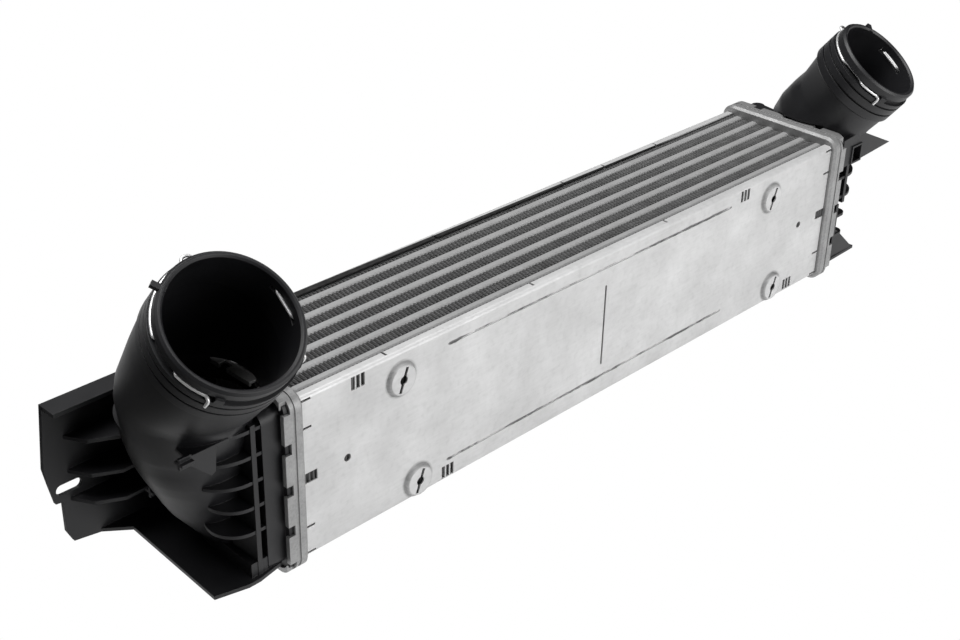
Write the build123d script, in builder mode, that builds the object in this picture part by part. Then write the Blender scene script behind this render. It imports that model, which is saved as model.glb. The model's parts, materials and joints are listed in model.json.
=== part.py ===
"""An air-to-air intercooler: a brazed aluminium core between two moulded plastic tanks.

The core's length runs along X, air leaves the core along Z, and the front side plate faces -Y.
The origin is on the front plate's face, midway between its two small mounting holes.
"""
import os
from math import asin, cos, degrees, radians, sin

from build123d import *

# Core stack
core_length = 516.0
core_depth = 108.0
tube_count = 6
fin_row_count = tube_count + 1
tube_thickness = 6.2
tube_wall = 0.6
tube_corner = 1.3

fin_height = 8.5
sheet = 1.0
tube_set_back = 0.3
tube_depth = core_depth - 2 * sheet - 2 * tube_set_back
stack_width = tube_count * tube_thickness + fin_row_count * fin_height
core_width = stack_width + 2 * sheet
stack_pitch = tube_thickness + fin_height
mid_y = core_width / 2
end_x = core_length / 2

# Corrugated fins, and the finer inserts inside the tubes
fin_foil = 0.7
fin_folds = 32
fin_recess = 1.4
insert_foil = 0.5
insert_folds = 7
insert_gap = 0.05
insert_set_back = 2.0
end_gap = 0.4

# Side plates
flange_width = 6.5
bend_radius = 2.6
hole_radius = 2.5
hole_x = 225.0
dome_radius = 11.6
dome_height = 2.6
dome_sites = ((-183.0, 35.4), (183.0, 35.4), (-169.6, -42.0), (196.4, -42.0))
slot_lean = 20.0
dome_taper = 38.0
slot_length = 17.0
slot_width = 2.2
keyhole_radius = 2.9
window_drop = 6.4
window_height = core_depth / 2 - window_drop
window_sites = (
    (-216.0, window_height), (150.0, window_height), (-144.0, -window_height), (219.0, -window_height),
)
window_size = (2.7, 8.6)
window_pitch = 3.7
notch_size = (10.0, 6.8)
edge_slit_size = (7.0, 1.4)
edge_slit_height = 33.5
corner_relief_drop = 2.4
corner_relief_height = core_depth / 2 - corner_relief_drop
crease_width = 1.6
crease_depth = 0.45
crease_span = (-144.0, 134.0)
crease_heights = (43.5, -39.0)
centre_slit_size = (1.6, 60.0)
relief_width = 1.6
front_reliefs = (-192.0, -68.0, 64.0)
rear_reliefs = (-66.0, 60.0, 104.0, 163.0)

# Header plates, which the tanks are crimped into
header_sheet = 1.8
rim_margins = (3.65, 5.5)
rim_width = core_width + 2 * rim_margins[0]
rim_height = core_depth + 2 * rim_margins[1]
rim_corner = 10.0
rim_length = 14.4
rim_wall = 1.7
rim_chamfer = 1.8
bead_depth = 0.7
bead_width = 1.8
bead_place = 6.2
crimp_lip = 1.3
crimp_sheet = 1.4
crimp_window = (7.0, 4.6)
crimp_pitch = 27.5
crimp_overrun = 2.0
corner_window = 8.0
corner_window_drop = 5.5
slot_clearance = 0.05
gasket_height = 3.2
gasket_width = 4.2
seat_gap = 0.1

# Tank walls and their ribs, with X measured outwards from the core's middle
wall = 3.0
tank_insets = (5.4, 6.5)
tank_half_width = rim_width / 2 - tank_insets[0]
tank_half_height = rim_height / 2 - tank_insets[1]
tank_corner = 7.0
rim_gap = 0.5
rim_room = 3.0
body_set_back = 1.0
rib_thickness = 2.2
rib_root = 6.0
rib_overlap = 1.0
rib_set_back = 0.5
rib_straight = 0.6
upright_thickness = 3.2

shelf_level = -49.8
shelf_sheet = 2.4
bracket_y = 50.4
bracket_sheet = 2.6
bracket_outline = (
    (285.0, 47.0), (358.0, 47.0), (362.0, 6.0), (360.0, -5.0), (357.0, -19.5), (352.5, -20.0),
    (352.5, -41.0), (348.5, -49.5), (331.0, -52.2), (285.0, -52.2),
)
bracket_slot_place = (347.5, -11.8)
bracket_slot_size = (17.0, 7.0)
bracket_web_levels = (23.0, 0.0, -19.0)
bracket_back = bracket_y + 1.0
bracket_web_outline = (
    (290.0, 30.0), (324.0, 29.0), (340.0, 37.0), (348.0, bracket_back), (290.0, bracket_back),
)
bracket_flange_front = bracket_y - 12.0
bracket_flange_root = 300.0
mouth_insets = (3.6, 6.0)
mouth_half_width = tank_half_width - mouth_insets[0]
mouth_half_height = tank_half_height - mouth_insets[1]
end_wall = 2.4
handle_share = 0.5523
loft_steps = 2
pin_span = 7.0
pin_web = 1.8
cheek_y = -46.0
cheek_sheet = 2.4
cheek_outline = ((312.0, 47.5), (331.5, 47.5), (331.0, 44.0), (316.5, 30.0), (313.5, 31.5))
cheek_roof_outline = ((304.0, cheek_y), (331.5, cheek_y), (329.0, -30.0), (304.0, -30.0))
cheek_roof_level = 48.0
cheek_roof_sheet = 2.0
foot_outline = ((284.0, -47.2), (295.5, -47.2), (294.0, -6.0), (291.0, 24.0), (284.0, 24.0))
foot_height = 9.3
foot_sink = 0.7
left_pins = ((328.0, -45.2, 45.6, 8.0), (308.0, 8.0, -6.0, 14.0))
gusset_outline = ((278.0, 29.0), (346.5, 32.6), (301.0, 54.0), (278.0, 52.0))
socket_place = (297.0, 37.0)
socket_size = (10.6, 11.6)
socket_wall = 1.6
socket_proud = 1.0
socket_depth = 8.0
shelf_web_outline = ((274.0, -50.0), (316.0, -51.0), (290.0, -28.0), (274.0, -24.0))
shelf_web_set_back = 1.6

# Port collars, measured from the bore and down from the mouth
collar_length = 30.0
lip_wall = 3.8
ring_wall = 5.2
groove_wall = 2.6
groove_span = (6.6, 10.2)
ring_groove_wall = 3.6
ring_grooves = ((13.8, 15.4), (21.0, 22.6))
mouth_chamfer = 1.2
lip_chamfer = (1.4, 1.6)
neck_wall = 3.6
neck_overlap = 3.0
bore_overrun = 2.0
stop_angle = 38.0
stop_size = (4.4, 5.0)
tab_angle = 51.0
tab_size = (9.0, 3.4)
tab_depth = (0.6, 3.4)

# Wire clips
wire_radius = 1.15
wire_facets = 8
clip_depth = 8.4
clip_window_half = 12.0
clip_window_height = 3.2
clip_chord_clear = 0.4
chord_half = 7.5
clip_kick = 3.5
clip_leg_end = 42.0
clip_hook_turn = 3.0
clip_hook_out = 2.75
clip_hook_drop = 6.0
clip_loop_turn = 6.0
clip_loop_out = 3.6


def rim_outline(inset):
    """The rounded oblong of the header's rim, drawn in by an inset."""
    return RectangleRounded(rim_width - 2 * inset, rim_height - 2 * inset, rim_corner - inset)


def end_plane(x):
    """A plane across the core at x, with its own x along +Y and its own y along +Z."""
    return Plane(origin=(x, mid_y, 0), x_dir=(0, 1, 0), z_dir=(1, 0, 0))


def level_plane(z):
    """A level plane whose origin is above or below the core's middle."""
    return Plane(origin=(0, mid_y, z))


def flat_tube_outline(inset):
    """The section of one charge-air tube, drawn in by its wall or out by a clearance."""
    across = tube_thickness / 2 - inset
    along = tube_depth / 2 - inset
    corner = tube_corner - inset / 2
    with BuildSketch(mode=Mode.PRIVATE) as outline:
        Rectangle(2 * across, 2 * along)
        chamfer(outline.vertices(), length=corner)
    return outline.sketch


def tube_y(index):
    """The middle of tube number index, counted from the front plate."""
    return sheet + fin_height + tube_thickness / 2 + index * stack_pitch


def fin_y(index):
    """The middle of fin row number index, counted from the front plate."""
    return sheet + fin_height / 2 + index * stack_pitch


def folded_sheet(plane, length, height, foil, folds, depth):
    """A sheet folded to and fro along a plane's x between two levels of its y."""
    half = (height - foil) / 2
    step = length / (2 * folds)
    crests = [(-length / 2 + i * step, half if i % 2 else -half) for i in range(2 * folds + 1)]
    upper = [(x, y + foil / 2) for x, y in crests]
    lower = [(x, y - foil / 2) for x, y in reversed(crests)]
    with BuildPart() as folded:
        with BuildSketch(plane):
            with BuildLine():
                Polyline(*upper, *lower, close=True)
            make_face()
        extrude(amount=depth / 2, both=True)
    return folded.part


def build_tube(index):
    """One flat tube, long enough to stand through both header plates."""
    reach = core_length + 2 * header_sheet + 2 * end_gap
    with BuildPart() as tube:
        with BuildSketch(Plane(origin=(0, tube_y(index), 0), x_dir=(0, 1, 0), z_dir=(1, 0, 0))):
            add(flat_tube_outline(0))
            add(flat_tube_outline(tube_wall), mode=Mode.SUBTRACT)
        extrude(amount=reach / 2, both=True)
    return tube.part


def build_insert(index):
    """The folded insert inside one tube, with its folds along the tube."""
    plane = Plane(origin=(0, tube_y(index), 0), x_dir=(0, 0, 1), z_dir=(1, 0, 0))
    height = tube_thickness - 2 * tube_wall - 2 * insert_gap
    width = tube_depth - 2 * tube_wall - 2 * tube_corner
    length = core_length - 2 * insert_set_back
    return folded_sheet(plane, width, height, insert_foil, insert_folds, length)


def build_fin_row(index):
    """One row of corrugated fins between two tubes, or a tube and a side plate."""
    plane = Plane(origin=(0, fin_y(index), 0), x_dir=(1, 0, 0), z_dir=(0, 0, 1))
    depth = core_depth - 2 * sheet - 2 * fin_recess
    return folded_sheet(plane, core_length - 2 * end_gap, fin_height, fin_foil, fin_folds, depth)


def build_side_plate(reliefs):
    """A side plate as the front one stands: a shallow channel of sheet with pressed features."""
    length = core_length - 2 * end_gap
    face = Plane(origin=(0, 0, 0), x_dir=(1, 0, 0), z_dir=(0, -1, 0))
    with BuildPart() as plate:
        with BuildSketch(Plane.YZ):
            with Locations((flange_width / 2, 0)):
                Rectangle(flange_width, core_depth)
            with Locations((flange_width / 2 + sheet, 0)):
                Rectangle(flange_width, core_depth - 2 * sheet, mode=Mode.SUBTRACT)
        extrude(amount=length / 2, both=True)
        bends = plate.edges().filter_by(Axis.X)
        fillet(bends.filter_by(lambda edge: edge.center().Y < sheet / 2), radius=bend_radius)
        hollows = bends.filter_by(lambda edge: abs(edge.center().Y - sheet) < sheet / 4)
        fillet(hollows, radius=bend_radius - sheet)
        with BuildSketch(face):
            with Locations(*dome_sites):
                Circle(dome_radius)
        extrude(amount=dome_height, taper=dome_taper)
        with BuildSketch(face.offset(-sheet)):
            with Locations(*dome_sites):
                Circle(dome_radius - sheet / 2)
        extrude(amount=dome_height, taper=dome_taper, mode=Mode.SUBTRACT)
        with BuildSketch(face.offset(dome_height)):
            with Locations(*dome_sites):
                Circle(keyhole_radius)
                Rectangle(slot_length, slot_width, rotation=90 - slot_lean)
            with Locations((-hole_x, 0), (hole_x, 0)):
                Circle(hole_radius)
            with Locations(*window_sites):
                with GridLocations(window_pitch, 0, 3, 1):
                    Rectangle(*window_size)
            with GridLocations(length, 0, 2, 1):
                Rectangle(2 * notch_size[0], notch_size[1])
            with GridLocations(length, 2 * edge_slit_height, 2, 2):
                Rectangle(2 * edge_slit_size[0], edge_slit_size[1])
            with GridLocations(length, 2 * corner_relief_height, 2, 2):
                Rectangle(2 * edge_slit_size[0], edge_slit_size[1])
            Rectangle(*centre_slit_size)
        extrude(amount=-dome_height - 2 * sheet, mode=Mode.SUBTRACT)
        with BuildSketch(face):
            span = crease_span[1] - crease_span[0]
            with Locations(*[(sum(crease_span) / 2, height) for height in crease_heights]):
                Rectangle(span, crease_width)
        extrude(amount=-crease_depth, mode=Mode.SUBTRACT)
        with BuildSketch(Plane(origin=(0, flange_width, 0), x_dir=(1, 0, 0), z_dir=(0, 0, 1))):
            with Locations(*[(x, 0) for x in reliefs]):
                Rectangle(relief_width, 2 * (flange_width - bend_radius))
        extrude(amount=core_depth, both=True, mode=Mode.SUBTRACT)
    return plate.part


def build_header():
    """The right header plate: a slotted tray whose rim is crimped over the tank's foot."""
    floor = end_plane(end_x)
    across = 2 * (rim_wall + crimp_overrun)
    with BuildPart() as header:
        with BuildSketch(floor):
            rim_outline(0)
        extrude(amount=rim_length)
        chamfer(header.faces().sort_by(Axis.X)[0].edges(), length=rim_chamfer)
        with BuildSketch(floor.offset(header_sheet)):
            rim_outline(rim_wall)
        extrude(amount=rim_length - header_sheet - crimp_sheet, mode=Mode.SUBTRACT)
        with BuildSketch(floor.offset(rim_length - crimp_sheet)):
            rim_outline(rim_wall + crimp_lip)
        extrude(amount=crimp_sheet, mode=Mode.SUBTRACT)
        with BuildSketch(floor.offset(bead_place)):
            rim_outline(0)
            add(rim_outline(bead_depth), mode=Mode.SUBTRACT)
        extrude(amount=bead_width, mode=Mode.SUBTRACT)
        with BuildSketch(floor):
            with Locations(*[(tube_y(index) - mid_y, 0) for index in range(tube_count)]):
                add(flat_tube_outline(-slot_clearance))
        extrude(amount=header_sheet, mode=Mode.SUBTRACT)
        with BuildSketch(floor.offset(rim_length)):
            with GridLocations(rim_width, crimp_pitch, 2, 3):
                Rectangle(across, crimp_window[0])
            with GridLocations(crimp_pitch, rim_height, 3, 2):
                Rectangle(crimp_window[0], across)
            with GridLocations(rim_width, rim_height - 2 * corner_window_drop, 2, 2):
                Rectangle(across, corner_window)
        extrude(amount=-crimp_window[1], mode=Mode.SUBTRACT)
    return header.part


def build_gasket():
    """The right gasket, a ring pressed between the header's floor and the tank's foot."""
    with BuildPart() as gasket:
        with BuildSketch(end_plane(end_x + header_sheet)):
            rim_outline(rim_wall + seat_gap)
            add(rim_outline(rim_wall + seat_gap + gasket_width), mode=Mode.SUBTRACT)
        extrude(amount=gasket_height)
    return gasket.part


class Port:
    """One port: its mouth's centre from the core's middle, the way it points, and its bore."""

    def __init__(self, centre, points, bore):
        self.centre = Vector(centre[0], centre[1] + mid_y, centre[2])
        self.points = Vector(*points).normalized()
        self.bore = bore
        self.across = (Vector(1, 0, 0) - self.points * self.points.X).normalized()

    def plane(self, depth):
        """The plane across the port, a depth below its mouth."""
        return Plane(origin=self.centre - self.points * depth, x_dir=self.across, z_dir=self.points)

    def profile_plane(self):
        """The plane through the port's axis, with radius as its x and height as its y."""
        return Plane(origin=self.centre, x_dir=self.across, z_dir=self.across.cross(self.points))


class Tank:
    """What sets one tank apart from the other.

    strip: how far the plain strip runs on past the rim. uprights: each a place past the rim and
    its lowest and highest level. levels: each a height, then x and y of the body's near shoulder,
    furthest reach and far shoulder there. neck: each a centre, a lean in degrees and two radii.
    ribs: each a level and where it ends on the near and on the far side. shelf: the outline of the
    level shelf under the body. fixtures: a function for what else stands on the tank.
    """

    def __init__(self, port, strip, uprights, levels, neck, ribs, shelf, fixtures):
        self.port = port
        self.strip_end = end_x + rim_length + strip
        self.uprights = uprights
        self.levels = levels
        self.neck = neck
        self.ribs = ribs
        self.shelf = shelf
        self.fixtures = fixtures


def quarter_turn(start, corner, end):
    """A quarter of an oval from start to end, bulging towards a corner."""
    first = tuple(here + handle_share * (there - here) for here, there in zip(start, corner))
    second = tuple(here + handle_share * (there - here) for here, there in zip(end, corner))
    return Bezier(start, first, second, end)


def oval(across, along):
    """The four quarters of an oval about the plane's origin, given its two radii."""
    ends = [(across, 0), (0, along), (-across, 0), (0, -along)]
    corners = [(across, along), (-across, along), (-across, -along), (across, -along)]
    for index, corner in enumerate(corners):
        quarter_turn(ends[index], corner, ends[(index + 1) % 4])


def eased(rows):
    """The rows of numbers with steps between each two on a smooth curve through them all."""
    padded = [rows[0], *rows, rows[-1]]
    steps = []
    for before, here, there, after in zip(padded, padded[1:], padded[2:], padded[3:]):
        for part in range(loft_steps):
            t = part / loft_steps
            steps.append([
                b + t * ((c - a) + t * ((2 * a - 5 * b + 4 * c - d) + t * (3 * b - a - 3 * c + d))) / 2
                for a, b, c, d in zip(before, here, there, after)
            ])
    return steps + [rows[-1]]


def body_of(tank, inset):
    """A tank's bulging body as a loft through level sections, drawn in by an inset."""
    start = end_x + rim_length + body_set_back
    bottom = tank.levels[0][0]
    top = tank.levels[-1][0]
    with BuildPart() as body:
        for height, near_x, near_y, reach, middle, far_x, far_y in eased(tank.levels):
            rise = 1 - 2 * (height - bottom) / (top - bottom)
            low = near_y + inset
            high = far_y - inset
            tip = reach - inset
            with BuildSketch(level_plane(height + inset * rise)):
                with BuildLine():
                    Line((start, high), (start, low))
                    Line((start, low), (near_x, low))
                    quarter_turn((near_x, low), (tip, low), (tip, middle))
                    quarter_turn((tip, middle), (tip, high), (far_x, high))
                    Line((far_x, high), (start, high))
                make_face()
        loft(ruled=True)
    return body.part


def neck_of(tank, inset):
    """The neck as a loft from under the port's rings down into the body, drawn in by an inset."""
    port = tank.port
    with BuildPart() as neck:
        with BuildSketch(port.plane(collar_length - neck_overlap)):
            with BuildLine():
                oval(port.bore + neck_wall - inset, port.bore + neck_wall - inset)
            make_face()
        for x, y, z, lean, across, along in eased(tank.neck):
            tilt = radians(lean)
            centre = (x, mid_y + y, z)
            with BuildSketch(Plane(origin=centre, x_dir=(1, 0, 0), z_dir=(0, -sin(tilt), cos(tilt)))):
                with BuildLine():
                    oval(across - inset, along - inset)
                make_face()
        loft(ruled=True)
    return neck.part


def collar_of(port):
    """The port's mouth, turned about its axis: a lip with a tab, the clip's groove and two rings.

    Two blocks in the groove stop the ends of the clip.
    """
    bore = port.bore
    lip = bore + lip_wall
    ring = bore + ring_wall
    groove = bore + groove_wall
    bottom = bore + ring_groove_wall
    notches = []
    for high, low in ring_grooves:
        notches += [(ring, -high), (bottom, -high), (bottom, -low), (ring, -low)]
    with BuildPart() as collar:
        with BuildSketch(port.profile_plane()):
            with BuildLine():
                Polyline(
                    (bore, -mouth_chamfer), (bore + mouth_chamfer, 0),
                    (lip - lip_chamfer[0], 0), (lip, -lip_chamfer[1]), (lip, -groove_span[0]),
                    (groove, -groove_span[0]), (groove, -groove_span[1]), (ring, -groove_span[1]),
                    *notches, (ring, mouth_chamfer - collar_length),
                    (ring - mouth_chamfer, -collar_length), (bore, -collar_length), close=True,
                )
            make_face()
        revolve(axis=Axis(port.centre, port.points))
        with BuildSketch(port.plane(groove_span[0])):
            middle = ring - stop_size[0] / 2
            with PolarLocations(middle, 2, -90 - stop_angle, 2 * stop_angle, endpoint=True):
                Rectangle(*stop_size)
        extrude(amount=groove_span[0] - groove_span[1])
        with BuildSketch(port.plane(tab_depth[0])):
            with PolarLocations(lip, 1, start_angle=tab_angle):
                Rectangle(*tab_size)
        extrude(amount=tab_depth[0] - tab_depth[1])
        with BuildSketch(port.plane(groove_span[1])):
            Circle(bore)
        extrude(amount=groove_span[1], mode=Mode.SUBTRACT)
        with BuildSketch(port.plane(clip_depth)):
            with GridLocations(2 * bore, 0, 2, 1):
                Rectangle(4 * ring_wall, 2 * clip_window_half)
        extrude(amount=clip_window_height / 2, both=True, mode=Mode.SUBTRACT)
    return collar.part


def rib_of(tank, level, near, far):
    """A level rib on both sides of the body: it leaves the uprights straight and curves to its ends."""
    start = tank.strip_end - rib_overlap
    square = end_x + rim_length + tank.uprights[-1][0] + upright_thickness + rib_straight
    with BuildPart() as rib:
        with BuildSketch(level_plane(level)):
            for sign, tip in ((-1, near), (1, far)):
                edge = sign * (tank_half_width - rib_set_back)
                with BuildLine():
                    Polyline(tip, (tip[0] - rib_root, 0), (start, 0), (start, edge), (square, edge))
                    TangentArc((square, edge), tip, tangent=(1, 0))
                make_face()
        extrude(amount=rib_thickness / 2, both=True)
    return rib.part


def upright_plate(y, thickness, outline):
    """A plate standing along X and Z at y from the core's middle, given its outline as x and z."""
    with BuildPart() as plate:
        with BuildSketch(Plane(origin=(0, mid_y + y, 0), x_dir=(1, 0, 0), z_dir=(0, -1, 0))):
            with BuildLine():
                Polyline(*outline, close=True)
            make_face()
        extrude(amount=-thickness)
    return plate.part


def level_plate(z, thickness, outline):
    """A level plate under z, given its outline as x and y from the core's middle."""
    with BuildPart() as plate:
        with BuildSketch(level_plane(z)):
            with BuildLine():
                Polyline(*outline, close=True)
            make_face()
        extrude(amount=-thickness)
    return plate.part


def cross_pin(x, y, z, length):
    """A pin of cross section that points outwards along X from x."""
    with BuildPart() as pin:
        with BuildSketch(Plane(origin=(x, mid_y + y, z), x_dir=(0, 1, 0), z_dir=(1, 0, 0))):
            Rectangle(pin_span, pin_web)
            Rectangle(pin_web, pin_span)
        extrude(amount=length)
    return pin.part


def left_fixtures():
    """What stands on the left tank besides its ribs: the rear bracket, two pins and a foot wall."""
    with BuildPart() as plate:
        add(upright_plate(bracket_y, bracket_sheet, bracket_outline))
        with BuildSketch(Plane(origin=(0, mid_y + bracket_y, 0), x_dir=(1, 0, 0), z_dir=(0, -1, 0))):
            with Locations(bracket_slot_place):
                SlotOverall(*bracket_slot_size)
        extrude(amount=-bracket_sheet, mode=Mode.SUBTRACT)
    top = bracket_outline[0][1]
    flange = level_plate(top, bracket_sheet, (
        (bracket_flange_root, bracket_flange_front), (bracket_outline[1][0], bracket_flange_front),
        (bracket_outline[1][0], bracket_back), (bracket_flange_root, bracket_back),
    ))
    webs = [level_plate(level, rib_thickness, bracket_web_outline) for level in bracket_web_levels]
    cheek = upright_plate(cheek_y, cheek_sheet, cheek_outline)
    roof = level_plate(cheek_roof_level, cheek_roof_sheet, cheek_roof_outline)
    foot = level_plate(shelf_level + foot_height, foot_height + foot_sink, foot_outline)
    pins = [cross_pin(*pin) for pin in left_pins]
    return [plate.part, flange, cheek, roof, foot] + webs + pins


def right_fixtures():
    """The right tank's front gusset with its square socket, and the web that stands on its shelf."""
    front = -tank_half_width - socket_proud
    across = socket_size[0] / 2 + socket_wall
    along = socket_size[1] / 2 + socket_wall
    x, z = socket_place
    sides = (
        (x - across, z - along), (x + across, z - along), (x + across, z + along), (x - across, z + along),
    )
    with BuildPart() as gusset:
        add(upright_plate(-tank_half_width, rib_thickness, gusset_outline))
        add(upright_plate(front, socket_depth, sides))
        with BuildSketch(Plane(origin=(0, mid_y + front, 0), x_dir=(1, 0, 0), z_dir=(0, -1, 0))):
            with Locations(socket_place):
                Rectangle(*socket_size)
        extrude(amount=socket_wall - socket_depth, mode=Mode.SUBTRACT)
    web = upright_plate(shelf_web_set_back - tank_half_width, rib_thickness, shelf_web_outline)
    return [gusset.part, web]


def build_tank(tank):
    """A right-hand tank: foot, plain strip, ribbed body, neck and port in one moulding."""
    port = tank.port
    foot_x = end_x + header_sheet + gasket_height
    body = body_of(tank, 0)
    hollow = body_of(tank, wall)
    neck = neck_of(tank, 0)
    passage = neck_of(tank, wall)
    collar = collar_of(port)
    ribs = [rib_of(tank, *entry) for entry in tank.ribs]
    with BuildPart() as moulding:
        add(body)
        add(neck)
        with BuildSketch(end_plane(end_x)):
            Rectangle(3 * rim_width, rim_height + rim_room)
        extrude(amount=rim_length + rim_gap, mode=Mode.SUBTRACT)
        with BuildSketch(end_plane(foot_x)):
            RectangleRounded(2 * tank_half_width, 2 * tank_half_height, tank_corner)
        extrude(amount=tank.strip_end - foot_x)
        with BuildSketch(end_plane(foot_x)):
            add(rim_outline(rim_wall + seat_gap))
        extrude(amount=rim_length - crimp_sheet - header_sheet - gasket_height - seat_gap)
        for rib in ribs:
            add(rib)
        for fixture in tank.fixtures():
            add(fixture)
        add(level_plate(shelf_level, shelf_sheet, tank.shelf))
        for place, low, high in tank.uprights:
            with BuildSketch(end_plane(end_x + rim_length + place)):
                with Locations((0, (low + high) / 2)):
                    Rectangle(2 * tank_half_width, high - low)
            extrude(amount=upright_thickness)
        add(hollow, mode=Mode.SUBTRACT)
        add(passage, mode=Mode.SUBTRACT)
        with BuildSketch(end_plane(foot_x)):
            RectangleRounded(2 * mouth_half_width, 2 * mouth_half_height, tank_corner / 2)
        extrude(amount=tank.strip_end - end_wall - foot_x, mode=Mode.SUBTRACT)
        add(collar)
        with BuildSketch(port.plane(collar_length)):
            Circle(port.bore)
        extrude(amount=collar_length + bore_overrun, mode=Mode.SUBTRACT)
    return moulding.part


def turned(radius, angle, drop=0):
    """A point about a port's axis, given its angle in degrees and how far it lies down the pipe."""
    return (radius * cos(radians(angle)), radius * sin(radians(angle)), -drop)


def build_clip(port):
    """The spring wire that holds a hose end.

    It lies in the groove with a raised loop on top, runs straight through both windows just outside
    the bore, and its ends turn out over the ring and down the pipe.
    """
    ring = port.bore + groove_wall + wire_radius + seat_gap
    chord = port.bore + wire_radius + clip_chord_clear
    bend = degrees(asin((chord_half + clip_kick) / ring))
    outer = ring + clip_loop_out
    hook = ring + clip_hook_out
    hook_angle = clip_leg_end + clip_hook_turn
    with BuildPart() as clip:
        with BuildLine(port.plane(clip_depth)) as path:
            CenterArc((0, 0), ring, bend, 90 - clip_loop_turn - bend)
            Polyline(
                turned(ring, 90 - clip_loop_turn), turned(outer, 90 - clip_loop_turn / 2),
                turned(outer, 90 + clip_loop_turn / 2), turned(ring, 90 + clip_loop_turn),
            )
            CenterArc((0, 0), ring, 90 + clip_loop_turn, 90 - clip_loop_turn - bend)
            Polyline(turned(ring, bend), (chord, chord_half), (chord, -chord_half), turned(ring, -bend))
            CenterArc((0, 0), ring, -bend, bend - clip_leg_end)
            Polyline(
                turned(ring, -clip_leg_end), turned(hook, -hook_angle),
                turned(hook, -hook_angle, clip_hook_drop),
            )
            Polyline(
                turned(ring, 180 - bend), (-chord, chord_half),
                (-chord, -chord_half), turned(ring, 180 + bend),
            )
            CenterArc((0, 0), ring, 180 + bend, clip_leg_end - bend)
            Polyline(
                turned(ring, 180 + clip_leg_end), turned(hook, 180 + hook_angle),
                turned(hook, 180 + hook_angle, clip_hook_drop),
            )
        start = path.line @ 0
        with BuildSketch(Plane(origin=start, z_dir=path.line % 0)):
            RegularPolygon(wire_radius, wire_facets)
        sweep(path=path.line, transition=Transition.RIGHT)
    return clip.part


# Both tanks in the right-hand tank's frame
right_port = Port((308.0, -50.0, 111.0), (0.155, -0.588, 0.794), 31.7)
left_port = Port((306.0, -60.0, 125.5), (0.02, -0.65, 0.76), 36.4)
left_tank = Tank(
    left_port,
    11.4,
    ((15.4, -50.0, 50.0),),
    (
        (-51.0, 281, -24, 292, -5, 281, 15),
        (-41.0, 285, -26, 298, -5, 285, 17.5),
        (-20.0, 293, -27, 314.5, -5, 293, 23),
        (-3.4, 297, -32.5, 323, -5, 297, 27),
        (13.0, 300, -36, 331, -5, 300, 32),
        (30.0, 302, -38, 336, -5, 302, 34.5),
        (47.0, 303, -40.5, 339.5, -4, 303, 36),
    ),
    (
        (305.0, -33.5, 94.0, 37.0, 40.6, 40.0), (303.5, -20.5, 76.0, 24.0, 41.5, 39.0),
        (303.0, -10.0, 60.0, 10.0, 40.0, 38.0), (300.0, -6.0, 30.0, 0.0, 36.0, 34.0),
        (298.0, -5.0, 10.0, 0.0, 28.0, 26.0),
    ),
    (
        (46.6, (311, -41.5), (318, 34)), (29.9, (315, -38.5), (312, 34)), (13.2, (314.5, -34), (308, 32)),
        (-3.5, (309.5, -30.5), (302, 30)), (-20.2, (307, -21.5), (298, 28)),
    ),
    ((274, -47), (292, -50.5), (300, -50.5), (320.5, -45.5), (316, 39), (331, 50.6), (331, 53), (274, 53)),
    left_fixtures,
)
right_tank = Tank(
    right_port,
    4.0,
    ((7.8, -48.0, -2.0), (14.6, -2.0, 48.0)),
    (
        (-51.0, 278, -37.5, 288, -8, 278, 35),
        (-32.0, 280, -38, 292, -8, 280, 35),
        (-12.0, 284, -38.5, 301, -8, 284, 36),
        (10.0, 289, -40.5, 311, -8, 289, 37),
        (30.0, 290, -41.5, 318, -8, 290, 38),
        (47.0, 290, -42, 321, -8, 290, 38),
    ),
    (
        (304.0, -22.0, 72.0, 33.0, 33.4, 33.4), (300.0, -9.0, 54.0, 28.0, 34.0, 34.0),
        (299.0, 0.0, 36.0, 20.0, 31.0, 31.0), (296.0, 4.0, 18.0, 10.0, 23.0, 23.0),
    ),
    (
        (51.0, (299, -42), (294, 38)), (36.4, (300, -41), (295, 37)), (19.8, (312, -33.5), (293, 36)),
        (3.2, (310.5, -33), (291, 36)), (-13.4, (294, -36), (288, 35)), (-30.0, (291.5, -35), (286, 35)),
    ),
    ((274, -47), (317, -46), (316, 38), (300, 47), (274, 47)),
    right_fixtures,
)


def write(part, name):
    """Labels a finished piece and writes it to its own file."""
    part.label = name
    export_step(part, f"parts/{name}.step")


def main():
    """Builds every piece and writes it."""
    os.makedirs("parts", exist_ok=True)
    for index in range(tube_count):
        write(build_tube(index), f"tube_{index + 1}")
        write(build_insert(index), f"turbulator_{index + 1}")
    for index in range(fin_row_count):
        write(build_fin_row(index), f"fin_row_{index + 1}")
    write(build_side_plate(front_reliefs), "side_plate_front")
    rear_plate = mirror(build_side_plate(rear_reliefs), about=Plane.XZ.offset(-mid_y))
    write(rear_plate, "side_plate_rear")
    header = build_header()
    write(header, "header_plate_right")
    write(mirror(header, about=Plane.YZ), "header_plate_left")
    gasket = build_gasket()
    write(gasket, "gasket_right")
    write(mirror(gasket, about=Plane.YZ), "gasket_left")
    write(build_tank(right_tank), "tank_right")
    write(mirror(build_tank(left_tank), about=Plane.YZ), "tank_left")
    write(build_clip(right_port), "spring_clip_right")
    write(mirror(build_clip(left_port), about=Plane.YZ), "spring_clip_left")


if __name__ == "__main__":
    main()
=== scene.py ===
"""The finish of an intercooler: fine fins, spring wire clips, materials, light and camera.

Everything is in metres. X runs along the core, Y from the front side plate to the rear one, and Z
along the cooling air's way.
"""
import json
from functools import cached_property

import bmesh
import bpy
import numpy as np
from mathutils import Matrix, Vector


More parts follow.
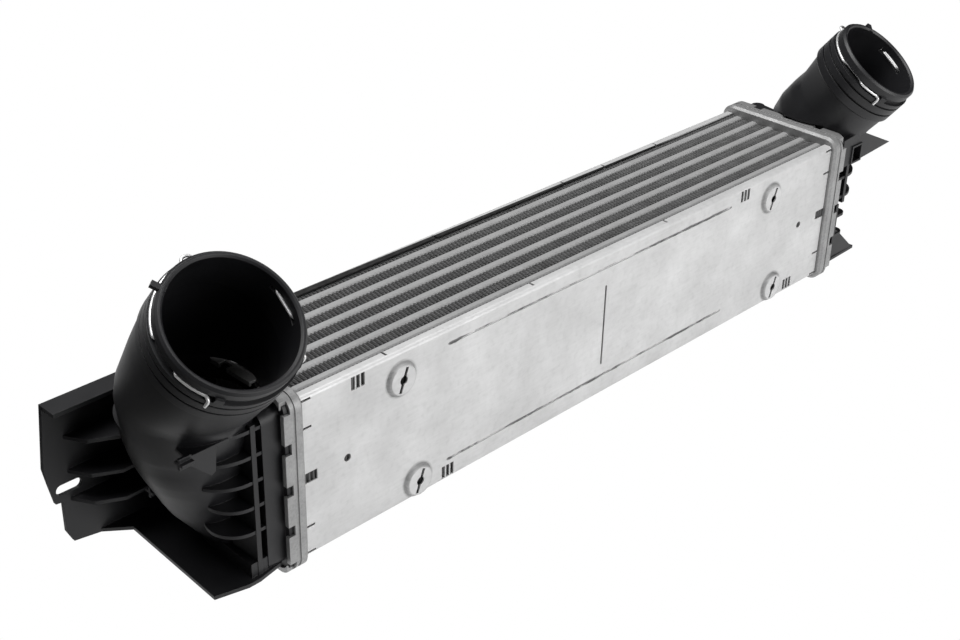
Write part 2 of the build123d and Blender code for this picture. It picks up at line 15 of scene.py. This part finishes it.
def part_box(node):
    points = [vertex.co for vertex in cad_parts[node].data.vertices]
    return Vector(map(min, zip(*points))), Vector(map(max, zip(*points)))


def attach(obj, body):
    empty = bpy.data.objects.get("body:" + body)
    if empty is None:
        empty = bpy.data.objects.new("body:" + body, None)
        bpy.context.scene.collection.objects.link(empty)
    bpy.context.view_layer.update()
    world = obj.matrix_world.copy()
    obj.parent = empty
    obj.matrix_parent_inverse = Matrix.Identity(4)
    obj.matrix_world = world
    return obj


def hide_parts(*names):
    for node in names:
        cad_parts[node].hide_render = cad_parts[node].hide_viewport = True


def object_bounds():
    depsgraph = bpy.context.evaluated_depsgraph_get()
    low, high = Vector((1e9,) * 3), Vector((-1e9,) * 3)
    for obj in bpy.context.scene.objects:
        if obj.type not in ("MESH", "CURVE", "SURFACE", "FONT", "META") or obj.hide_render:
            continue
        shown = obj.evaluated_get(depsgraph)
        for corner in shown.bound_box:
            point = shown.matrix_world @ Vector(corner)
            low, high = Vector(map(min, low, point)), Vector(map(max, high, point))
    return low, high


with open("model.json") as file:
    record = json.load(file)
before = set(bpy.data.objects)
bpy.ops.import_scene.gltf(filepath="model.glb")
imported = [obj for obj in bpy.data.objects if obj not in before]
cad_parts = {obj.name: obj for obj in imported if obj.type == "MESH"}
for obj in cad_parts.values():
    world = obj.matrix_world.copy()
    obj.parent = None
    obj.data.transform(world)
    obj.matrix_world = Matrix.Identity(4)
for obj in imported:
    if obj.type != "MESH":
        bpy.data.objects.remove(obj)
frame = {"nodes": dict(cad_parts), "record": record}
cad_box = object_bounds()

# Fine fins, which stand in for the coarse folds of the frame and rise a little above them
fin_pitch = 0.0030
fin_foil = 0.00011
fold_points = 8
crest_squareness = 2.5
fin_rise = 0.0008
louvre_height = 0.0008
louvre_swing = 0.00042
louvre_count = 6

# Spring wire clips, measured from the port's bore, with the chords reaching into it
wire_radius = 0.0009
clip_depth = 0.0084
groove_wall = 0.0026
seat_gap = 0.0001
chord_reach = 0.0014
chord_half = 0.0075
clip_kick = 0.0035
clip_leg_end = np.radians(42)
clip_hook_turn = np.radians(3)
clip_hook_out = 0.00275
clip_hook_drop = 0.006
clip_loop_turn = np.radians(6)
clip_loop_out = 0.0036
mouth_chamfer = 0.0012

# How finely a clip's wire is drawn
leg_points = 12
chord_points = 9
arc_points = 40
corner_cut = 0.25
corner_passes = 2
wire_sides = 14

# The camera, from the photo's perspective
image_width = 960
camera_place = Vector((-0.70424, -0.56503, 0.50727))
camera_right = Vector((0.70545, -0.70850, 0.01925))
camera_forward = Vector((0.62298, 0.60689, -0.49354))
focal_pixels = 1553
middle_pixel_offset = (-7, 6)
sensor_width = 36

# Moulded shells, whose loose triangles are merged so that round walls shade as one
merge_distance = 0.00001
crease_angle = np.radians(32)
edge_softness = 0.0005
edge_samples = 4

# Levels between which a cloud pattern does most of its work
pattern_low = 0.3
pattern_high = 0.7

# A Mix node's colour sockets, which come after those for numbers and vectors
mix_first = 6
mix_second = 7
mix_result = 2

# Long shallow creases of the side plates, along which shade is painted dark
crease_heights = (0.0435, -0.0390)
crease_ends = (-0.144, 0.134)
crease_fade = 0.006
crease_shade_half = 0.0034

# Painted shade in a ring on the flanks of the front plate's domes
dome_sites = ((-0.1830, 0.0354), (0.1830, 0.0354), (-0.1696, -0.0420), (0.1964, -0.0420))
flank_middle = 0.0109
flank_half = 0.0003
flank_fade = 0.0018

# Painted shade on the rear plate's flange: a dark band that narrows towards the right
shade_edge = 0.0943
shade_slope = 0.013
shade_half = 0.005
shade_fade = 0.0004

# Floor and surroundings: white to the camera, and a floor that is dark in reflections past the left tank
floor_drop = 0.0004
floor_reach = 6.0
floor_tone = 0.8
dark_side = (-0.43, -0.29)
dark_level = 0.04
backdrop_white = 1.0
ambient_grey = 0.07

# Soft lamps: a key overhead and a weak fill in front
key_lamp = {"place": (-0.3, 0.3, 2.3), "size": 2.0, "power": 85}
fill_lamp = {"place": (0.5, -2.2, 0.6), "size": 1.6, "power": 42}


def tube_faces(rows, columns):
    """Quads between neighbours of a grid of points whose rows are closed rings, as four point numbers."""
    grid = np.meshgrid(np.arange(rows - 1), np.arange(columns), indexing="ij")
    row, column = [numbers.ravel() for numbers in grid]
    next_column = (column + 1) % columns
    return np.stack([
        row * columns + column, (row + 1) * columns + column,
        (row + 1) * columns + next_column, row * columns + next_column,
    ], axis=1)


def lay_piece(mesh, material, replaced):
    """Makes a piece of a mesh, gives it its finish and puts it in a node's place."""
    mesh.materials.clear()
    mesh.materials.append(material)
    piece = bpy.data.objects.new(mesh.name, mesh)
    bpy.context.scene.collection.objects.link(piece)
    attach(piece, "root")
    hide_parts(replaced)


def smooth_mesh(name, points, faces):
    """A smoothly shaded mesh from arrays of points and faces."""
    mesh = bpy.data.meshes.new(name)
    mesh.from_pydata(points.tolist(), [], [list(face) for face in faces])
    mesh.shade_smooth()
    return mesh


def fin_levels(low, high):
    """Heights of the grid rows of a fin: a row per louvre edge near both faces of the core."""
    steps = np.arange(louvre_count + 1) * louvre_height
    return np.concatenate([low + steps, (high - steps)[::-1]])


def fin_skins(low, high):
    """Both skins of a fin seen along Z, as one closed ring of points, with each point's fold number.

    The mid line is x = pitch * t and y = half height * tanh(k sin(2 pi t)) / tanh(k), which is a wave
    with flat crests. The skins are the mid line moved half a foil along its normal to either side.
    """
    folds = int((high.x - low.x) / fin_pitch)
    t = np.linspace(0, folds, folds * fold_points + 1)
    half = (high.y - low.y - fin_foil) / 2
    wave = np.tanh(crest_squareness * np.sin(2 * np.pi * t)) / np.tanh(crest_squareness)
    length = high.x - low.x - 2 * fin_foil
    line = np.stack([low.x + fin_foil + t * length / folds, half * wave], axis=1)
    along = np.gradient(line, axis=0)
    normal = np.stack([-along[:, 1], along[:, 0]], axis=1) / np.linalg.norm(along, axis=1)[:, None]
    skins = np.concatenate([line + normal * fin_foil / 2, (line - normal * fin_foil / 2)[::-1]])
    skins[:, 1] = np.clip(skins[:, 1], -half - fin_foil / 2, half + fin_foil / 2)
    return skins, np.concatenate([t, t[::-1]])


def fine_fin(node, material):
    """A corrugated fin with louvres near both faces of the core.

    Along the depth the walls swing to and fro by a louvre's swing, rising walls one way and falling
    walls the other, and the crests stay straight: x moves by swing * sign(cos(2 pi t)) * (1 - (y /
    half height) squared).
    """
    low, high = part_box(node)
    high.z += fin_rise
    skins, t = fin_skins(low, high)
    levels = fin_levels(low.z, high.z)
    swing = louvre_swing * np.where(np.arange(len(levels)) % 2, 0.5, -0.5)
    half = (high.y - low.y) / 2
    wall_share = np.sign(np.cos(2 * np.pi * t)) * (1 - (skins[:, 1] / half) ** 2)
    points = np.empty((len(levels), len(skins), 3))
    points[:, :, 0] = np.clip(skins[None, :, 0] + swing[:, None] * wall_share[None, :], low.x, high.x)
    points[:, :, 1] = (low.y + high.y) / 2 + skins[None, :, 1]
    points[:, :, 2] = levels[:, None]
    columns = len(skins)
    upper = np.arange(columns // 2 - 1)
    lower = columns - 1 - upper
    cap = np.stack([upper, upper + 1, lower - 1, lower], axis=1)
    top = (len(levels) - 1) * columns
    faces = np.concatenate([tube_faces(len(levels), columns), cap, top + cap[:, ::-1]])
    mesh = smooth_mesh(node + "_fine", points.reshape(-1, 3), faces)
    lay_piece(mesh, material, node)


def port_axes(mount):
    """A port's mouth centre, its bore and three directions: across, over the top and outwards."""
    outwards = Vector(mount["axis"]).normalized()
    bore = mount["dims"]["r_mm"] / 1000
    half_length = mount["dims"]["length_mm"] / 2000
    centre = Vector(mount["pos_m"]) + outwards * (half_length + mouth_chamfer)
    across = (Vector((1, 0, 0)) - outwards * outwards.x).normalized()
    return centre, bore, np.array(across), np.array(outwards.cross(across)), np.array(outwards)


def about_port(radius, angle, drop=0.0):
    """Points at a radius and angle about a port's axis, and a drop down the pipe, one to a row."""
    angle = np.atleast_1d(angle)
    return np.stack([radius * np.cos(angle), radius * np.sin(angle), np.full(len(angle), -drop)], axis=1)


def clip_path(bore):
    """The wire's mid line about the port's axis, from one end to the other.

    The right half is a hook down the pipe, an arc in the groove, a straight chord through the window
    and an arc up to the raised loop on top. The left half is its mirror image.
    """
    ring = bore + groove_wall + wire_radius + seat_gap
    chord = bore + wire_radius - chord_reach
    bend = np.arcsin((chord_half + clip_kick) / ring)
    hook_angle = -clip_leg_end - clip_hook_turn
    top = np.pi / 2
    stretch = np.linspace(-chord_half, chord_half, chord_points)
    half = np.concatenate([
        about_port(ring + clip_hook_out, hook_angle, clip_hook_drop),
        about_port(ring + clip_hook_out, hook_angle),
        about_port(ring, np.linspace(-clip_leg_end, -bend, leg_points)),
        np.stack([np.full(chord_points, chord), stretch, np.zeros(chord_points)], axis=1),
        about_port(ring, np.linspace(bend, top - clip_loop_turn, arc_points)),
        about_port(ring + clip_loop_out, top - clip_loop_turn / 2),
    ])
    return np.concatenate([half, half[::-1] * (-1, 1, 1)])


def rounded(path):
    """A path with its corners cut.

    Each pass puts a point a cut's share in from both ends of each step, and keeps the path's two tips.
    """
    for _ in range(corner_passes):
        early = (1 - corner_cut) * path[:-1] + corner_cut * path[1:]
        late = corner_cut * path[:-1] + (1 - corner_cut) * path[1:]
        path = np.concatenate([path[:1], np.stack([early, late], axis=1).reshape(-1, 3), path[-1:]])
    return path


def wire_along(path, away):
    """A round wire: circles about each path point, square to the path, with both ends closed.

    A circle's point is p + radius * (cos(a) side + sin(a) lift), where side is the direction away from
    the port's axis crossed with the path's direction, and lift is that direction crossed with side.
    """
    along = np.gradient(path, axis=0)
    along /= np.linalg.norm(along, axis=1)[:, None]
    side = np.cross(away, along)
    side /= np.linalg.norm(side, axis=1)[:, None]
    lift = np.cross(along, side)
    turn = np.arange(wire_sides) * 2 * np.pi / wire_sides
    ring = np.cos(turn)[None, :, None] * side[:, None, :] + np.sin(turn)[None, :, None] * lift[:, None, :]
    points = (path[:, None, :] + wire_radius * ring).reshape(-1, 3)
    rows = len(path)
    faces = [tuple(face) for face in tube_faces(rows, wire_sides)[:, ::-1]]
    start = tuple(range(wire_sides))[::-1]
    end = tuple((rows - 1) * wire_sides + i for i in range(wire_sides))
    return points, faces + [start, end]


def wire_clip(node, mount, material):
    """The spring wire round a port, with a raised loop on top and both ends bent down the pipe."""
    centre, bore, across, over, outwards = port_axes(mount)
    local = rounded(clip_path(bore))
    path = local @ np.stack([across, over, outwards]) - outwards * clip_depth + np.array(centre)
    away = local[:, :1] * across + local[:, 1:2] * over
    points, faces = wire_along(path, away)
    lay_piece(smooth_mesh(node + "_wire", points, faces), material, node)


def moulded_shell(node, material):
    """A copy of a tank with its loose triangles merged and only its real edges left sharp."""
    mesh = frame["nodes"][node].data.copy()
    mesh.name = node + "_moulding"
    shell = bmesh.new()
    shell.from_mesh(mesh)
    bmesh.ops.remove_doubles(shell, verts=shell.verts, dist=merge_distance)
    shell.to_mesh(mesh)
    shell.free()
    mesh.attributes.remove(mesh.attributes["custom_normal"])
    mesh.shade_smooth()
    mesh.set_sharp_from_angle(angle=crease_angle)
    lay_piece(mesh, material, node)


class Nodes:
    """The shading nodes of a material or a world, with short ways to add and join them."""

    def __init__(self, owner):
        owner.use_nodes = True
        self.tree = owner.node_tree

    @cached_property
    def place(self):
        """The place on the piece, in metres."""
        return self.add("ShaderNodeTexCoord").outputs["Object"]

    def add(self, kind, **settings):
        """A new node with its settings made."""
        node = self.tree.nodes.new(kind)
        for name, value in settings.items():
            setattr(node, name, value)
        return node

    def join(self, source, target):
        """Joins one socket to another."""
        self.tree.links.new(source, target)

    def axis(self, name):
        """The place along one axis."""
        parts = self.add("ShaderNodeSeparateXYZ")
        self.join(self.place, parts.inputs[0])
        return parts.outputs[name]

    def maths(self, operation, *sources, clamped=False):
        """Patterns and numbers put through an operation, held between nothing and one if clamped."""
        node = self.add("ShaderNodeMath", operation=operation, use_clamp=clamped)
        for socket, source in zip(node.inputs, sources):
            if isinstance(source, float):
                socket.default_value = source
            else:
                self.join(source, socket)
        return node.outputs[0]

    def slide(self, source, start, end, first, last, shape="LINEAR"):
        """A number that goes from first to last while a pattern goes from start to end."""
        node = self.add("ShaderNodeMapRange", interpolation_type=shape)
        self.join(source, node.inputs["Value"])
        limits = {"From Min": start, "From Max": end, "To Min": first, "To Max": last}
        for name, value in limits.items():
            node.inputs[name].default_value = value
        return node.outputs["Result"]

    def end_in(self, share, first, second, output):
        """Ends the tree in a mix of two shaders."""
        mix = self.add("ShaderNodeMixShader")
        self.join(share, mix.inputs["Fac"])
        self.join(first.outputs[0], mix.inputs[1])
        self.join(second.outputs[0], mix.inputs[2])
        self.join(mix.outputs[0], self.add(output).inputs["Surface"])


class Finish(Nodes):
    """A material under construction, with short ways to make its patterns and paint with them."""

    def __init__(self, name):
        self.material = bpy.data.materials.new(name)
        super().__init__(self.material)
        self.shader = self.tree.nodes["Principled BSDF"]

    def stretched(self, scale):
        """The place on the piece, stretched by a scale for each axis."""
        mapping = self.add("ShaderNodeMapping")
        mapping.inputs["Scale"].default_value = scale
        self.join(self.place, mapping.inputs["Vector"])
        return mapping.outputs["Vector"]

    def noise(self, scale, detail=4.0, roughness=0.5, place=None):
        """A cloud pattern with so many features to the metre."""
        node = self.add("ShaderNodeTexNoise")
        node.inputs["Scale"].default_value = scale
        node.inputs["Detail"].default_value = detail
        node.inputs["Roughness"].default_value = roughness
        self.join(place or self.place, node.inputs["Vector"])
        return node.outputs["Fac"]

    def tone(self, source, first, last, start=pattern_low, end=pattern_high):
        """A grey or colour that goes from first to last while a pattern goes from start to end."""
        node = self.add("ShaderNodeValToRGB")
        for element, level, shade in zip(node.color_ramp.elements, (start, end), (first, last)):
            element.position = level
            element.color = grey(shade) if isinstance(shade, float) else (*shade, 1.0)
        self.join(source, node.inputs["Fac"])
        return node.outputs["Color"]

    def mixed(self, share, first, second, blend="MIX"):
        """Two colours mixed by a pattern or a set share."""
        node = self.add("ShaderNodeMix", data_type="RGBA", blend_type=blend)
        if isinstance(share, float):
            node.inputs["Factor"].default_value = share
        else:
            self.join(share, node.inputs["Factor"])
        self.join(first, node.inputs[mix_first])
        self.join(second, node.inputs[mix_second])
        return node.outputs[mix_result]

    def darkened(self, share, colour, shade):
        """A colour multiplied by a shade, by a set share."""
        return self.mixed(share, colour, shade, "MULTIPLY")

    def relief(self, source, height, strength, below=None):
        """A bump from a pattern, on top of another bump if one is given."""
        node = self.add("ShaderNodeBump")
        node.inputs["Strength"].default_value = strength
        node.inputs["Distance"].default_value = height
        self.join(source, node.inputs["Height"])
        if below:
            self.join(below, node.inputs["Normal"])
        return node.outputs["Normal"]

    def softened(self):
        """Normals that turn over each edge as a worn or moulded edge does."""
        node = self.add("ShaderNodeBevel", samples=edge_samples)
        node.inputs["Radius"].default_value = edge_softness
        return node.outputs["Normal"]

    def measured(self, operation, place, point):
        """A place's distance from a point, or its dot product with a direction."""
        node = self.add("ShaderNodeVectorMath", operation=operation)
        self.join(place, node.inputs[0])
        node.inputs[1].default_value = point
        return node.outputs["Value"]

    def band(self, source, middle, half, soft):
        """One within a half width of a place, falling to nothing over a soft edge."""
        away = self.maths("ABSOLUTE", self.maths("SUBTRACT", source, middle))
        return self.slide(away, half, half + soft, 1.0, 0.0)

    def product(self, first, *others):
        """Patterns multiplied."""
        for other in others:
            first = self.maths("MULTIPLY", first, other)
        return first

    def either(self, first, *others):
        """Patterns added, up to one."""
        for other in others:
            first = self.maths("ADD", first, other, clamped=True)
        return first

    def paint(self, **sources):
        """Joins patterns to the shader's sockets by name."""
        for name, source in sources.items():
            self.join(source, self.shader.inputs[name.replace("_", " ").title()])

    def fix(self, **values):
        """Sets the shader's own values by name."""
        for name, value in values.items():
            self.shader.inputs[name.replace("_", " ").title().replace("Ior", "IOR")].default_value = value


def grey(tone):
    """A grey with nothing see-through about it."""
    return (tone, tone, tone, 1.0)


def crease_painted_shade(finish):
    """Painted shade along the creases: a dark band of uneven width, with gaps."""
    middle = sum(crease_ends) / 2
    half = (crease_ends[1] - crease_ends[0]) / 2
    height = finish.axis("Z")
    lines = finish.either(*[finish.band(height, crease, 0.0, crease_shade_half) for crease in crease_heights])
    along = finish.band(finish.axis("X"), middle, half, crease_fade)
    across_creases = finish.stretched((1.0, 0.2, 0.2))
    breaks = finish.noise(scale=16.0, detail=3.0, roughness=0.5, place=across_creases)
    gaps = finish.tone(breaks, 0.62, 1.0, start=0.4, end=0.56)
    along_creases = finish.stretched((0.5, 1.0, 1.6))
    patches = finish.noise(scale=150.0, detail=6.0, roughness=0.7, place=along_creases)
    return finish.tone(finish.product(lines, along, gaps, patches), 0.0, 0.85, start=0.32, end=0.43)


def dome_flank_painted_shade(finish):
    """Painted shade on the flanks of the domes: one in a ring about each dome's centre, seen along Y."""
    flat = finish.stretched((1.0, 0.0, 1.0))
    radii = [finish.measured("DISTANCE", flat, (x, 0.0, z)) for x, z in dome_sites]
    return finish.either(*[finish.band(radius, flank_middle, flank_half, flank_fade) for radius in radii])


def flange_painted_shade(finish):
    """Painted shade on the rear flange: one where y + slope * x is below the shade's edge."""
    across = finish.measured("DOT_PRODUCT", finish.place, (shade_slope, 1.0, 0.0))
    return finish.band(across, shade_edge - shade_half, shade_half, shade_fade)


def rolled_aluminium(name, rear_shaded):
    """Bare rolled sheet: satin, with faint blotches, streaks along X, specks and painted shade in its
    creases.

    The rear plate's sheet has painted shade on its flange, and the other one has painted shade on the
    flanks of the domes.
    """
    finish = Finish(name)
    clouds = finish.noise(scale=22.0, detail=6.0, roughness=0.6)
    specks = finish.noise(scale=240.0, detail=3.0)
    streaks = finish.noise(scale=60.0, detail=4.0, roughness=0.6, place=finish.stretched((1.0, 9.0, 9.0)))
    colour = finish.tone(clouds, 0.51, 0.65)
    colour = finish.darkened(0.5, colour, finish.tone(specks, 0.82, 1.0, start=0.25, end=0.5))
    colour = finish.darkened(0.5, colour, finish.tone(streaks, 0.88, 1.0, end=0.6))
    # Painted shade: the creases are darkened nearly to black
    colour = finish.mixed(crease_painted_shade(finish), colour, finish.tone(specks, 0.05, 0.12))
    if rear_shaded:
        # Painted shade: the rear flange is darkened nearly to black
        colour = finish.mixed(flange_painted_shade(finish), colour, finish.tone(specks, 0.01, 0.03))
    else:
        # Painted shade: a dark ring on the domes' flanks
        colour = finish.mixed(dome_flank_painted_shade(finish), colour, finish.tone(streaks, 0.22, 0.36))
    waves = finish.relief(clouds, height=0.0006, strength=0.25, below=finish.softened())
    finish.paint(
        base_color=colour,
        roughness=finish.tone(clouds, 0.56, 0.48),
        normal=finish.relief(specks, height=0.00006, strength=0.35, below=waves),
    )
    finish.fix(metallic=0.45)
    return finish.material


def tube_aluminium():
    """The tubes' edges: duller than the side plates, with a fine grain and flux stains."""
    finish = Finish("tube_aluminium")
    stains = finish.noise(scale=35.0, detail=5.0, roughness=0.6)
    grain = finish.noise(scale=900.0, detail=2.0)
    colour = finish.tone(stains, 0.25, 0.31)
    finish.paint(
        base_color=finish.darkened(0.6, colour, finish.tone(grain, 0.85, 1.0, end=0.6)),
        roughness=finish.tone(stains, 0.75, 0.65),
        normal=finish.relief(grain, height=0.00005, strength=0.5),
    )
    finish.fix(metallic=0.2)
    return finish.material


def rim_aluminium():
    """The header plates: grainy brazing sheet, darker than the side plates."""
    finish = Finish("rim_aluminium")
    clouds = finish.noise(scale=45.0, detail=5.0, roughness=0.6)
    grain = finish.noise(scale=700.0, detail=3.0, roughness=0.6)
    colour = finish.tone(clouds, 0.28, 0.37)
    finish.paint(
        base_color=finish.darkened(0.7, colour, finish.tone(grain, 0.75, 1.0, end=0.6)),
        roughness=finish.tone(clouds, 0.55, 0.42),
        normal=finish.relief(grain, height=0.00008, strength=0.6, below=finish.softened()),
    )
    finish.fix(metallic=0.6)
    return finish.material


def fin_foil_finish():
    """Thin fin foil: grey and matte, darker in patches where flux has burnt on."""
    finish = Finish("fin_foil")
    patches = finish.noise(scale=80.0)
    finish.paint(base_color=finish.tone(patches, 0.10, 0.15), roughness=finish.tone(patches, 0.8, 0.7))
    finish.fix(metallic=0.1)
    return finish.material


def moulded_plastic():
    """Glass-filled black plastic: satin, with a fine grain and a faint grey haze in patches."""
    finish = Finish("moulded_plastic")
    haze = finish.noise(scale=28.0, detail=5.0, roughness=0.55)
    grain = finish.noise(scale=1500.0, detail=3.0, roughness=0.6)
    finish.paint(
        base_color=finish.tone(haze, (0.0045, 0.0045, 0.0055), (0.008, 0.008, 0.0095)),
        roughness=finish.tone(haze, 0.42, 0.52),
        normal=finish.relief(grain, height=0.00005, strength=0.5, below=finish.softened()),
    )
    finish.fix(specular_ior_level=0.48)
    return finish.material


def gasket_rubber():
    """Black rubber, matte and a little dusty."""
    finish = Finish("gasket_rubber")
    dust = finish.noise(scale=300.0, detail=3.0)
    finish.paint(base_color=finish.tone(dust, 0.008, 0.02), roughness=finish.tone(dust, 0.7, 0.85))
    return finish.material


def spring_wire():
    """Drawn spring wire: bright, with fine marks of the die."""
    finish = Finish("spring_wire")
    marks = finish.noise(scale=500.0, detail=3.0)
    finish.paint(base_color=finish.tone(marks, 0.68, 0.78), roughness=finish.tone(marks, 0.35, 0.45))
    finish.fix(metallic=0.7)
    return finish.material


def give_finishes(nodes):
    """Gives each piece that stays as the frame has it its material."""
    tube = tube_aluminium()
    finishes = {
        "side_plate_front": rolled_aluminium("rolled_aluminium", rear_shaded=False),
        # The rear plate's sheet gets painted shade on its flange
        "side_plate_rear": rolled_aluminium("shaded_rear_aluminium", rear_shaded=True),
        "tube": tube,
        "turbulator": tube,
        "header": rim_aluminium(),
        "gasket": gasket_rubber(),
    }
    for name, piece in nodes.items():
        for start, material in finishes.items():
            if name.startswith(start):
                piece.data.materials.clear()
                piece.data.materials.append(material)


def floor_finish():
    """Pale floor that is white to the camera.

    In reflections it is white too, and falls to dark past the left tank, where the studio is unlit.
    """
    material = bpy.data.materials.new("pale_floor")
    nodes = Nodes(material)
    nodes.tree.nodes.clear()
    pale = nodes.add("ShaderNodeBsdfDiffuse")
    pale.inputs["Color"].default_value = grey(floor_tone)
    rays = nodes.add("ShaderNodeLightPath").outputs
    fade = nodes.slide(nodes.axis("X"), *dark_side, dark_level, 1.0, shape="SMOOTHSTEP")
    white = nodes.add("ShaderNodeEmission")
    nodes.join(nodes.maths("MAXIMUM", rays["Is Camera Ray"], fade), white.inputs["Strength"])
    seen = nodes.maths("MAXIMUM", rays["Is Camera Ray"], rays["Is Glossy Ray"])
    nodes.end_in(seen, pale, white, "ShaderNodeOutputMaterial")
    return material


def set_floor(low_z):
    """A plain square floor a little under the piece."""
    corners = np.array([(-1, -1), (1, -1), (1, 1), (-1, 1)]) * floor_reach
    points = np.column_stack([corners, np.full(len(corners), low_z - floor_drop)])
    mesh = bpy.data.meshes.new("floor")
    mesh.from_pydata(points.tolist(), [], [(0, 1, 2, 3)])
    mesh.materials.append(floor_finish())
    floor = bpy.data.objects.new("floor", mesh)
    bpy.context.scene.collection.objects.link(floor)


def set_world():
    """White to the camera, and a plain grey studio for every other ray."""
    world = bpy.data.worlds.new("studio")
    bpy.context.scene.world = world
    nodes = Nodes(world)
    nodes.tree.nodes.clear()
    dim = nodes.add("ShaderNodeBackground")
    dim.inputs["Color"].default_value = grey(ambient_grey)
    white = nodes.add("ShaderNodeBackground")
    white.inputs["Color"].default_value = grey(backdrop_white)
    rays = nodes.add("ShaderNodeLightPath").outputs
    nodes.end_in(rays["Is Camera Ray"], dim, white, "ShaderNodeOutputWorld")


def soft_lamp(name, place, size, power):
    """A square soft box that looks at the middle of the front plate."""
    lamp = bpy.data.lights.new(name, "AREA")
    lamp.shape = "SQUARE"
    lamp.size = size
    lamp.energy = power
    holder = bpy.data.objects.new(name, lamp)
    holder.location = place
    holder.rotation_euler = (-Vector(place)).to_track_quat("-Z", "Y").to_euler()
    bpy.context.scene.collection.objects.link(holder)


def set_camera():
    """The camera at the photo's place, with its lens and small shift."""
    lens = bpy.data.cameras.new("camera")
    lens.sensor_width = sensor_width
    lens.lens = sensor_width * focal_pixels / image_width
    lens.shift_x = -middle_pixel_offset[0] / image_width
    lens.shift_y = middle_pixel_offset[1] / image_width
    camera = bpy.data.objects.new("camera", lens)
    right = camera_right.normalized()
    back = -camera_forward.normalized()
    up = back.cross(right).normalized()
    turned = Matrix((right, up, back)).transposed().to_4x4()
    camera.matrix_world = Matrix.Translation(camera_place) @ turned
    bpy.context.scene.collection.objects.link(camera)
    bpy.context.scene.camera = camera


def main():
    """Dresses the frame and sets the scene."""
    give_finishes(frame["nodes"])
    foil = fin_foil_finish()
    for name in sorted(frame["nodes"]):
        if name.startswith("fin_row"):
            fine_fin(name, foil)
    plastic = moulded_plastic()
    moulded_shell("tank_left", plastic)
    moulded_shell("tank_right", plastic)
    wire = spring_wire()
    mounts = {mount["name"]: mount for mount in frame["record"]["mounts"]}
    wire_clip("spring_clip_left", mounts["port_left"], wire)
    wire_clip("spring_clip_right", mounts["port_right"], wire)
    set_floor(cad_box[0][2])
    set_world()
    soft_lamp("key", **key_lamp)
    soft_lamp("fill", **fill_lamp)
    set_camera()
    bpy.context.scene.view_settings.view_transform = "Standard"


main()
